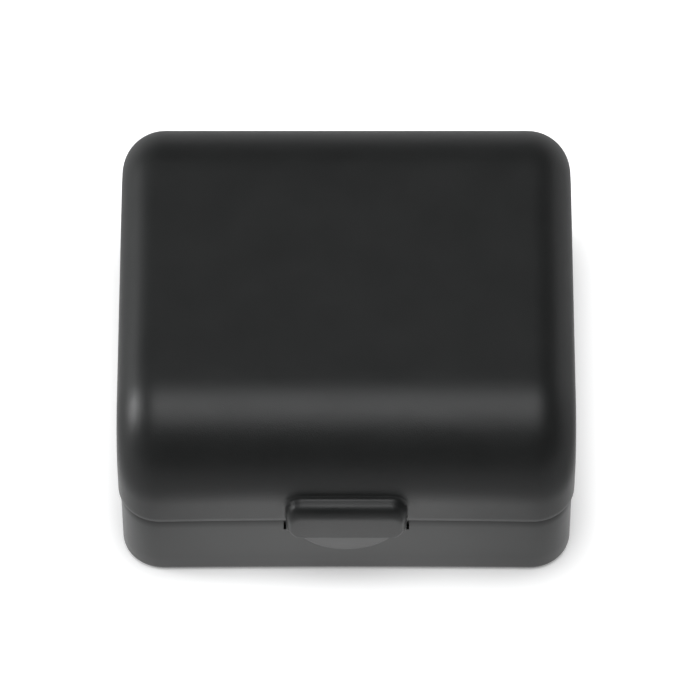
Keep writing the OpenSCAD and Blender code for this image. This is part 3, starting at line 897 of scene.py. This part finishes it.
def curve_through(stops, steps=6):
    """Smooth outline through given stops (Catmull-Rom)."""
    ends = [stops[0]] + list(stops) + [stops[-1]]
    out = []
    for i in range(1, len(ends) - 2):
        p0, p1, p2, p3 = (np.array(ends[i + k], float) for k in (-1, 0, 1, 2))
        for k in range(steps):
            t = k / steps
            out.append(tuple(0.5 * (2 * p1 + (p2 - p0) * t + (2 * p0 - 5 * p1 + 4 * p2 - p3) * t * t
                                    + (3 * p1 - p0 - 3 * p2 + p3) * t ** 3)))
    return out + [tuple(stops[-1])]


def make_brush():
    low, high = node_box("brush_handle")
    start = (low[0], (low[1] + high[1]) / 2, (low[2] + high[2]) / 2)
    length = high[0] - low[0]
    outline = [(0, 0), (0.02, 0.5), (0.3, 1.15), (0.9, 1.62)]
    outline += curve_through([(2, 1.8), (7, 2.12), (length * 0.3, 2.58), (length * 0.55, 3.1),
                              (length * 0.74, 3.44), (length * 0.84, 3.44), (length * 0.93, 2.9),
                              (length, 2.36)], 7)
    outline += [(length, 0)]
    finish_piece(lathe("handle", outline, start, 72), "brush_handle_lacquered", "base",
                 LACQUER, ["brush_handle"], 50)
    low, high = node_box("brush_ferrule")
    wide, long = 2.4, high[0] - low[0]
    outline = [(0, 0), (0, wide - 0.12), (0.12, wide)]
    for groove in (2.2, 3.7):
        outline += [(groove - 0.5, wide)]
        outline += [(groove - 0.35 + 0.7 * k / 6, wide - 0.22 * math.sin(math.pi * k / 6))
                    for k in range(7)]
        outline += [(groove + 0.5, wide)]
    outline += [(long * 0.42, wide - 0.02), (long * 0.7, wide - 0.18), (long - 0.15, 2.03),
                (long, 1.95), (long, 0)]
    finish_piece(lathe("ferrule", outline, (low[0], start[1], start[2]), 72), "brush_ferrule_tube",
                 "base", NICKEL, ["brush_ferrule"], 40)
    low, high = node_box("brush_hair")
    make_tuft((low[0], start[1], start[2]), high[0] - low[0])


def link_chain(tree, *pairs):
    for source, target in pairs:
        tree.links.new(source, target)


def new_tree(name, sizes):
    """Geometry node tree with a geometry input and output and named inputs for its sizes."""
    tree = bpy.data.node_groups.new(name, "GeometryNodeTree")
    tree.interface.new_socket("Geometry", in_out="INPUT", socket_type="NodeSocketGeometry")
    for label, kind, value in sizes:
        socket = tree.interface.new_socket(label, in_out="INPUT", socket_type=kind)
        socket.default_value = value
    tree.interface.new_socket("Geometry", in_out="OUTPUT", socket_type="NodeSocketGeometry")
    source = tree.nodes.new("NodeGroupInput")
    sink = tree.nodes.new("NodeGroupOutput")
    return tree, source, sink


def run_tree(piece, tree, values):
    """Runs a tree on a piece with values for its named inputs and keeps the result."""
    step = piece.modifiers.new(tree.name, "NODES")
    step.node_group = tree
    for item in tree.interface.items_tree:
        if item.in_out == "INPUT" and item.name in values:
            step[item.identifier] = values[item.name]
    bpy.context.view_layer.update()
    return flatten(piece)


def tuft_tree(material):
    tree, source, sink = new_tree("hair_tuft", [
        ("Strands", "NodeSocketInt", 300), ("Length", "NodeSocketFloat", 0.013),
        ("Root Radius", "NodeSocketFloat", 0.0018), ("Strand Radius", "NodeSocketFloat", 0.00004),
        ("Root", "NodeSocketVector", (0, 0, 0)), ("Seed", "NodeSocketInt", SEED)])
    node = tree.nodes.new
    inputs = source.outputs

    def number(operation, a, b=0.0):
        return math_node(tree, operation, a, b)

    def chance(offset, low=0.0, high=1.0):
        item = node("FunctionNodeRandomValue")
        item.data_type = "FLOAT"
        item.inputs[2].default_value = low
        item.inputs[3].default_value = high
        tree.links.new(number("ADD", inputs["Seed"], offset), item.inputs["Seed"])
        return item.outputs[1]

    spread = number("MULTIPLY", number("SQRT", chance(1)), inputs["Root Radius"])
    turn = number("MULTIPLY", chance(2), 2 * math.pi)
    spot = node("ShaderNodeCombineXYZ")
    link_chain(tree, (number("MULTIPLY", spread, number("COSINE", turn)), spot.inputs["Y"]),
               (number("MULTIPLY", spread, number("SINE", turn)), spot.inputs["Z"]))
    roots = node("GeometryNodePoints")
    link_chain(tree, (inputs["Strands"], roots.inputs["Count"]),
               (spot.outputs[0], roots.inputs["Position"]))
    strand = node("GeometryNodeMeshCylinder")
    dial(strand, {"Vertices": 4, "Side Segments": 9})
    link_chain(tree, (inputs["Strand Radius"], strand.inputs["Radius"]),
               (inputs["Length"], strand.inputs["Depth"]))
    lay = node("GeometryNodeTransform")
    lay.inputs["Rotation"].default_value = (0, math.pi / 2, 0)
    move = node("ShaderNodeCombineXYZ")
    link_chain(tree, (number("MULTIPLY", inputs["Length"], 0.5), move.inputs["X"]),
               (move.outputs[0], lay.inputs["Translation"]),
               (strand.outputs["Mesh"], lay.inputs["Geometry"]))
    grow = node("ShaderNodeCombineXYZ")
    dial(grow, {"Y": 1, "Z": 1})
    tree.links.new(chance(3, 0.9, 1.0), grow.inputs["X"])
    place = node("GeometryNodeInstanceOnPoints")
    link_chain(tree, (roots.outputs[0], place.inputs["Points"]),
               (lay.outputs[0], place.inputs["Instance"]),
               (grow.outputs[0], place.inputs["Scale"]))
    real = node("GeometryNodeRealizeInstances")
    tree.links.new(place.outputs[0], real.inputs[0])
    where = node("GeometryNodeInputPosition")
    apart = node("ShaderNodeSeparateXYZ")
    tree.links.new(where.outputs[0], apart.inputs[0])
    belly = node("ShaderNodeFloatCurve")
    line = belly.mapping.curves[0]
    line.points[0].location = (0.0, 0.86)
    line.points[1].location = (1.0, 0.06)
    for x, y in ((0.33, 1.0), (0.62, 0.76), (0.84, 0.36)):
        line.points.new(x, y)
    belly.mapping.update()
    tree.links.new(number("DIVIDE", apart.outputs["X"], inputs["Length"]), belly.inputs["Value"])
    drawn = node("ShaderNodeCombineXYZ")
    link_chain(tree, (apart.outputs["X"], drawn.inputs["X"]),
               (number("MULTIPLY", apart.outputs["Y"], belly.outputs[0]), drawn.inputs["Y"]),
               (number("MULTIPLY", apart.outputs["Z"], belly.outputs[0]), drawn.inputs["Z"]))
    put = node("GeometryNodeSetPosition")
    link_chain(tree, (real.outputs[0], put.inputs["Geometry"]),
               (drawn.outputs[0], put.inputs["Position"]),
               (inputs["Root"], put.inputs["Offset"]))
    join = node("GeometryNodeJoinGeometry")
    link_chain(tree, (put.outputs[0], join.inputs[0]), (inputs["Geometry"], join.inputs[0]))
    paint = node("GeometryNodeSetMaterial")
    paint.inputs["Material"].default_value = material
    link_chain(tree, (join.outputs[0], paint.inputs["Geometry"]), (paint.outputs[0], sink.inputs[0]))
    return tree


def hair_material():
    material, tree, shader, place = new_material("brush_hair")
    stretch = tree.nodes.new("ShaderNodeMapping")
    stretch.inputs["Scale"].default_value = (0.08, 1, 1)
    tree.links.new(place, stretch.inputs["Vector"])
    strands = noise_node(tree, stretch.outputs["Vector"], 1 / (0.12 * MM), 2.0, 0.6)
    tree.links.new(ramp_node(tree, strands, [(0.25, (0.05, 0.016, 0.006)), (0.5, (0.17, 0.062, 0.02)),
                                             (0.8, (0.34, 0.15, 0.055))]), shader.inputs["Base Color"])
    tree.links.new(range_node(tree, strands, 0.3, 0.5), shader.inputs["Roughness"])
    shader.inputs["Sheen Weight"].default_value = 0.25
    return material


def make_tuft(root, length):
    """Pointed tuft: a core and some hundreds of strands that swell and come to a point."""
    material = hair_material()
    core = lathe("core", [(0, 0), (0, 1.4), (length * 0.33, 1.62), (length * 0.62, 1.15),
                          (length * 0.84, 0.5), (length * 0.94, 0.12), (length * 0.95, 0)], root, 24)
    tuft = run_tree(core, tuft_tree(material), {
        "Strands": 420, "Length": length * MM, "Root Radius": 1.95 * MM, "Strand Radius": 0.05 * MM,
        "Root": [c * MM for c in root], "Seed": SEED})
    finish_piece(tuft, "brush_hair_tuft", "base", material, ["brush_hair"], 60)


make_brush()


# ---------------------------------------------------------------------------
# Sponge
# ---------------------------------------------------------------------------

def sponge_material():
    material, tree, shader, place = new_material("sponge")
    slow = noise_node(tree, place, 1 / (6 * MM), 3.0, 0.5)
    pores = tree.nodes.new("ShaderNodeTexVoronoi")
    pores.inputs["Scale"].default_value = 1 / (0.9 * MM)
    tree.links.new(place, pores.inputs["Vector"])
    tree.links.new(ramp_node(tree, slow, [(0.3, (0.6, 0.4, 0.13)), (0.7, (0.78, 0.6, 0.25))]),
                   shader.inputs["Base Color"])
    fine = noise_node(tree, place, 1 / (0.25 * MM), 3.0, 0.6)
    height = math_node(tree, "ADD", math_node(tree, "MULTIPLY", pores.outputs["Distance"], 0.8), fine)
    tree.links.new(bump_node(tree, height, 0.18), shader.inputs["Normal"])
    tree.links.new(range_node(tree, fine, 0.85, 1.0), shader.inputs["Roughness"])
    dial(shader, {"Specular IOR Level": 0.2, "Subsurface Weight": 0.2,
                  "Subsurface Radius": (1.0, 0.7, 0.4), "Subsurface Scale": 1.0 * MM})
    return material


def make_sponge():
    """Cut cellulose sponge: soft edges, open pores of several sizes, a slightly uneven top."""
    low, high = node_box("sponge")
    centre = node_middle(low, high)
    block = rounded_block("sponge", (high[0] - low[0]) / 2 - 0.1, (high[1] - low[1]) / 2 - 0.1, 1.9,
                          low[2] + 0.05, high[2] - 0.15, 0.9, centre, steps=4)
    step = block.modifiers.new("skin", "REMESH")
    step.mode = "VOXEL"
    step.voxel_size = 0.32 * MM
    flatten(block)
    mesh = block.data
    for vertex, normal in zip(mesh.vertices, [v.normal.copy() for v in mesh.vertices]):
        x, y, z = (c / MM for c in vertex.co)
        big = noise.voronoi(Vector((x * 0.36, y * 0.36, z * 0.36)))[0][0]
        small = noise.voronoi(Vector((x * 0.85 + 5, y * 0.85, z * 0.85)))[0][0]
        pore = 0.75 * max(0.0, 1 - big / 0.42) ** 0.7 + 0.38 * max(0.0, 1 - small / 0.4)
        sway = 0.12 * noise.noise(Vector((x * 0.15, y * 0.15, z * 0.15)))
        vertex.co -= normal * (pore + 0.12 + sway) * MM
    finish_piece(block, "sponge_cellulose", "base", sponge_material(), ["sponge"], 80)


make_sponge()


# ---------------------------------------------------------------------------
# Water flask and its cap
# ---------------------------------------------------------------------------

def flask_material():
    material, tree, shader, place = new_material("flask_plastic")
    slow = noise_node(tree, place, 1 / (7 * MM), 2.0, 0.5)
    tree.links.new(range_node(tree, slow, 0.07, 0.16, 0.3, 0.7), shader.inputs["Roughness"])
    tree.links.new(bump_node(tree, slow, 0.05), shader.inputs["Normal"])
    dial(shader, {"Base Color": (0.86, 0.94, 0.97, 1), "Transmission Weight": 0.95, "IOR": 1.45})
    return material


def make_flask():
    """Blown bottle with rolled shoulders and an even wall."""
    low, high = node_box("flask_body")
    start = (low[0], (low[1] + high[1]) / 2, (low[2] + high[2]) / 2)
    radius = (high[2] - low[2]) / 2 - 0.01
    body, neck, total = 50.0, 5.0, high[0] - low[0]
    outer = [(0.45, 0), (0.4, 3.5), (0.0, 4.6), (0.02, 5.6)]
    outer += [(1.3 - 1.3 * math.sin(t), radius - 1.3 + 1.3 * math.cos(t))
              for t in (math.pi / 2 * (1 - k / 5) for k in range(1, 6))]
    outer += [(body - 5.2, radius), (body - 4.0, radius - 0.22), (body - 2.9, radius - 0.85),
              (body - 1.6, neck + 0.45), (body - 0.7, neck + 0.06), (body, neck - 0.02),
              (body + 0.2, neck - 0.02), (total - 0.25, neck - 0.02), (total, neck - 0.25)]
    inner = [(total, 3.85), (total - 0.25, 3.62), (body + 0.2, 3.62), (body - 0.4, 3.8),
             (body - 1.6, 4.5), (body - 3.2, 5.9), (body - 4.4, radius - 1.1),
             (body - 5.4, radius - 1.0), (2.2, radius - 1.0), (1.4, radius - 1.5),
             (1.05, radius - 2.4), (1.2, 3.4), (1.3, 0)]
    finish_piece(lathe("flask", outer + inner, start, 96), "flask_blown", "lid",
                 flask_material(), ["flask_body"], 50)


def rib_tree(material):
    tree, source, sink = new_tree("cap_ribs", [
        ("Ribs", "NodeSocketInt", 36), ("Radius", "NodeSocketFloat", 0.0065),
        ("Rib Radius", "NodeSocketFloat", 0.00028), ("Rib Length", "NodeSocketFloat", 0.007),
        ("Middle", "NodeSocketVector", (0, 0, 0))])
    node = tree.nodes.new
    inputs = source.outputs
    around = node("GeometryNodeMeshCircle")
    link_chain(tree, (inputs["Ribs"], around.inputs["Vertices"]),
               (inputs["Radius"], around.inputs["Radius"]))
    rib = node("GeometryNodeMeshCylinder")
    rib.inputs["Vertices"].default_value = 8
    link_chain(tree, (inputs["Rib Radius"], rib.inputs["Radius"]),
               (inputs["Rib Length"], rib.inputs["Depth"]))
    place = node("GeometryNodeInstanceOnPoints")
    link_chain(tree, (around.outputs[0], place.inputs["Points"]),
               (rib.outputs["Mesh"], place.inputs["Instance"]))
    turn = node("GeometryNodeTransform")
    turn.inputs["Rotation"].default_value = (0, math.pi / 2, 0)
    link_chain(tree, (place.outputs[0], turn.inputs["Geometry"]),
               (inputs["Middle"], turn.inputs["Translation"]))
    real = node("GeometryNodeRealizeInstances")
    join = node("GeometryNodeJoinGeometry")
    paint = node("GeometryNodeSetMaterial")
    paint.inputs["Material"].default_value = material
    link_chain(tree, (turn.outputs[0], real.inputs[0]), (real.outputs[0], join.inputs[0]),
               (inputs["Geometry"], join.inputs[0]), (join.outputs[0], paint.inputs["Geometry"]),
               (paint.outputs[0], sink.inputs[0]))
    return tree


def make_cap():
    """Screw cap with a rolled top edge, a plain collar and fine ribs for the grip."""
    low, high = node_box("flask_cap")
    middle_y, middle_z = (low[1] + high[1]) / 2, (low[2] + high[2]) / 2
    radius, length = (high[2] - low[2]) / 2 - 0.01, high[0] - low[0]
    outline = [(0, 5.3), (0, radius - 0.15), (0.15, radius), (1.1, radius), (1.2, radius - 0.25),
               (length - 0.9, radius - 0.25), (length - 0.45, radius - 0.38),
               (length - 0.15, radius - 0.7),
               (length, radius - 1.1), (length - 0.05, radius - 2.2), (length - 0.2, radius - 2.5),
               (length - 0.2, 0)]
    outline += [(length - 1.4, 0), (length - 1.4, 5.3), (0, 5.3)]
    cap = lathe("cap", outline, (low[0], middle_y, middle_z), 96)
    ribs = run_tree(cap, rib_tree(CAP_BLACK), {
        "Ribs": 44, "Radius": (radius - 0.26) * MM, "Rib Radius": 0.24 * MM,
        "Rib Length": (length - 2.2) * MM,
        "Middle": ((low[0] + 1.2 + (length - 2.2) / 2) * MM, middle_y * MM, middle_z * MM)})
    finish_piece(ribs, "flask_cap_ribbed", "flask_cap", CAP_BLACK, ["flask_cap"], 40)


make_flask()
make_cap()


# ---------------------------------------------------------------------------
# Finish of the pieces that keep their CAD shape
# ---------------------------------------------------------------------------

def keep_node(node, material):
    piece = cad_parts[node]
    piece.data.materials.clear()
    piece.data.materials.append(material)
    return piece


for pin in ("hinge_pin_left", "hinge_pin_right", "palette_rod"):
    keep_node(pin, PIN_STEEL)
keep_node("cap_liner", FOAM)


# ---------------------------------------------------------------------------
# Stage, light and camera
# ---------------------------------------------------------------------------

def camera_sees(tree, seen, otherwise):
    """One value where the camera looks straight at a surface, the other for all other light."""
    mix = tree.nodes.new("ShaderNodeMix")
    mix.data_type = "FLOAT"
    ray = tree.nodes.new("ShaderNodeLightPath")
    tree.links.new(ray.outputs["Is Camera Ray"], mix.inputs["Factor"])
    for socket, value in (("A", otherwise), ("B", seen)):
        if isinstance(value, float):
            mix.inputs[socket].default_value = value
        else:
            tree.links.new(value, mix.inputs[socket])
    return mix.outputs["Result"]


# Strength of the floor's painted pool of light in reflections, and the distances from the middle over
# which it falls
GLOW_NEAR = 1.5
GLOW_FAR = 0.02
GLOW_FROM = 43
GLOW_TO = 76
# Camera: height above the table in degrees, distance in metres, and lens in millimetres
CAMERA_ELEVATION = 57
CAMERA_DISTANCE = 1.242
CAMERA_LENS = 325.85


def make_floor():
    """White table that glows, with painted shade in the close gap under an edge. The camera sees it
    evenly lit; in reflections and as a source of light it is a painted pool of light, bright near the
    object and dark further out."""
    floor = new_piece("floor", [(-6000, -6000, 0), (6000, -6000, 0), (6000, 6000, 0),
                                (-6000, 6000, 0)], [(0, 1, 2, 3)])
    material, tree, shader, place = new_material("floor_white")
    dial(shader, {"Base Color": (0.8, 0.8, 0.8, 1), "Roughness": 1.0, "Specular IOR Level": 0.0})
    # Painted contact shadow: ambient occlusion darkens the floor's glow close under an edge
    shade_near = tree.nodes.new("ShaderNodeAmbientOcclusion")
    shade_near.inputs["Distance"].default_value = 9 * MM
    shade_near.samples = 8
    open_share = math_node(tree, "POWER", shade_near.outputs["AO"], 1.1)
    reach = tree.nodes.new("ShaderNodeVectorMath")
    reach.operation = "LENGTH"
    tree.links.new(place, reach.inputs[0])
    falloff = range_node(tree, reach.outputs["Value"], GLOW_NEAR, GLOW_FAR,
                         GLOW_FROM * MM, GLOW_TO * MM)
    pool = camera_sees(tree, 1.0, falloff)
    glow = math_node(tree, "MULTIPLY", math_node(tree, "MULTIPLY", open_share, pool), 0.86)
    shader.inputs["Emission Color"].default_value = (1, 1, 1, 1)
    tree.links.new(glow, shader.inputs["Emission Strength"])
    floor.data.materials.append(material)


def direction(azimuth, elevation):
    """Unit vector; azimuth 0 is the front, 90 the right, as seen from the object."""
    a, e = math.radians(azimuth), math.radians(elevation)
    return Vector((math.sin(a) * math.cos(e), -math.cos(a) * math.cos(e), math.sin(e)))


def make_studio():
    """Dark surroundings with a broad lamp overhead, a small strong one low on the left, a weak one
    low on the right and a pale band behind. The camera itself sees plain white."""
    world = bpy.data.worlds.new("studio")
    bpy.context.scene.world = world
    world.use_nodes = True
    tree = world.node_tree
    tree.nodes.clear()
    out = tree.nodes.new("ShaderNodeOutputWorld")
    back = tree.nodes.new("ShaderNodeBackground")
    tree.links.new(back.outputs["Background"], out.inputs["Surface"])
    place = tree.nodes.new("ShaderNodeTexCoord").outputs["Generated"]

    def lobe(azimuth, elevation, inner, outer, strength):
        """Round patch of light, full inside inner degrees and gone beyond outer."""
        node = tree.nodes.new("ShaderNodeVectorMath")
        node.operation = "DOT_PRODUCT"
        tree.links.new(place, node.inputs[0])
        node.inputs[1].default_value = direction(azimuth, elevation)
        fade = tree.nodes.new("ShaderNodeMapRange")
        fade.interpolation_type = "SMOOTHSTEP"
        dial(fade, {"From Min": math.cos(math.radians(outer)),
                    "From Max": math.cos(math.radians(inner)), "To Max": strength})
        tree.links.new(node.outputs["Value"], fade.inputs["Value"])
        return fade.outputs["Result"]

    split = tree.nodes.new("ShaderNodeSeparateXYZ")
    tree.links.new(place, split.inputs["Vector"])

    def horizon(low, high, strength):
        """Band round the horizon, full below low degrees and gone above high."""
        node = tree.nodes.new("ShaderNodeMapRange")
        node.interpolation_type = "SMOOTHSTEP"
        dial(node, {"From Min": math.sin(math.radians(high)),
                    "From Max": math.sin(math.radians(low)), "To Max": strength})
        tree.links.new(split.outputs["Z"], node.inputs["Value"])
        return node.outputs["Result"]

    rear = range_node(tree, split.outputs["Y"], 0.0, 1.0, -0.2, 0.7)
    lit = math_node(tree, "MULTIPLY", horizon(3, 20, 0.3), rear)
    for patch in (lobe(0, 84, 10, 27, 3.0), lobe(-98, 21, 3, 17, 12.0), lobe(110, 3, 8, 32, 0.5)):
        lit = math_node(tree, "ADD", lit, patch)
    lit = math_node(tree, "ADD", lit, 0.07)
    tree.links.new(camera_sees(tree, 1.0, lit), back.inputs["Strength"])
    back.inputs["Color"].default_value = (0.985, 0.993, 1.0, 1)


def make_camera():
    camera = bpy.data.cameras.new("camera")
    camera.sensor_width = 36
    camera.lens = CAMERA_LENS
    camera.clip_start = 0.05
    camera.clip_end = 50
    holder = bpy.data.objects.new("camera", camera)
    bpy.context.scene.collection.objects.link(holder)
    aim = Vector((0.0007, 0.0, 0.0164))
    back = direction(0, CAMERA_ELEVATION)
    holder.location = aim + back * CAMERA_DISTANCE
    holder.rotation_mode = "QUATERNION"
    holder.rotation_quaternion = (-back).to_track_quat("-Z", "Y")
    bpy.context.scene.camera = holder


make_floor()
make_studio()
make_camera()
bpy.context.scene.view_settings.view_transform = "Standard"
bpy.context.scene.view_settings.look = "None"
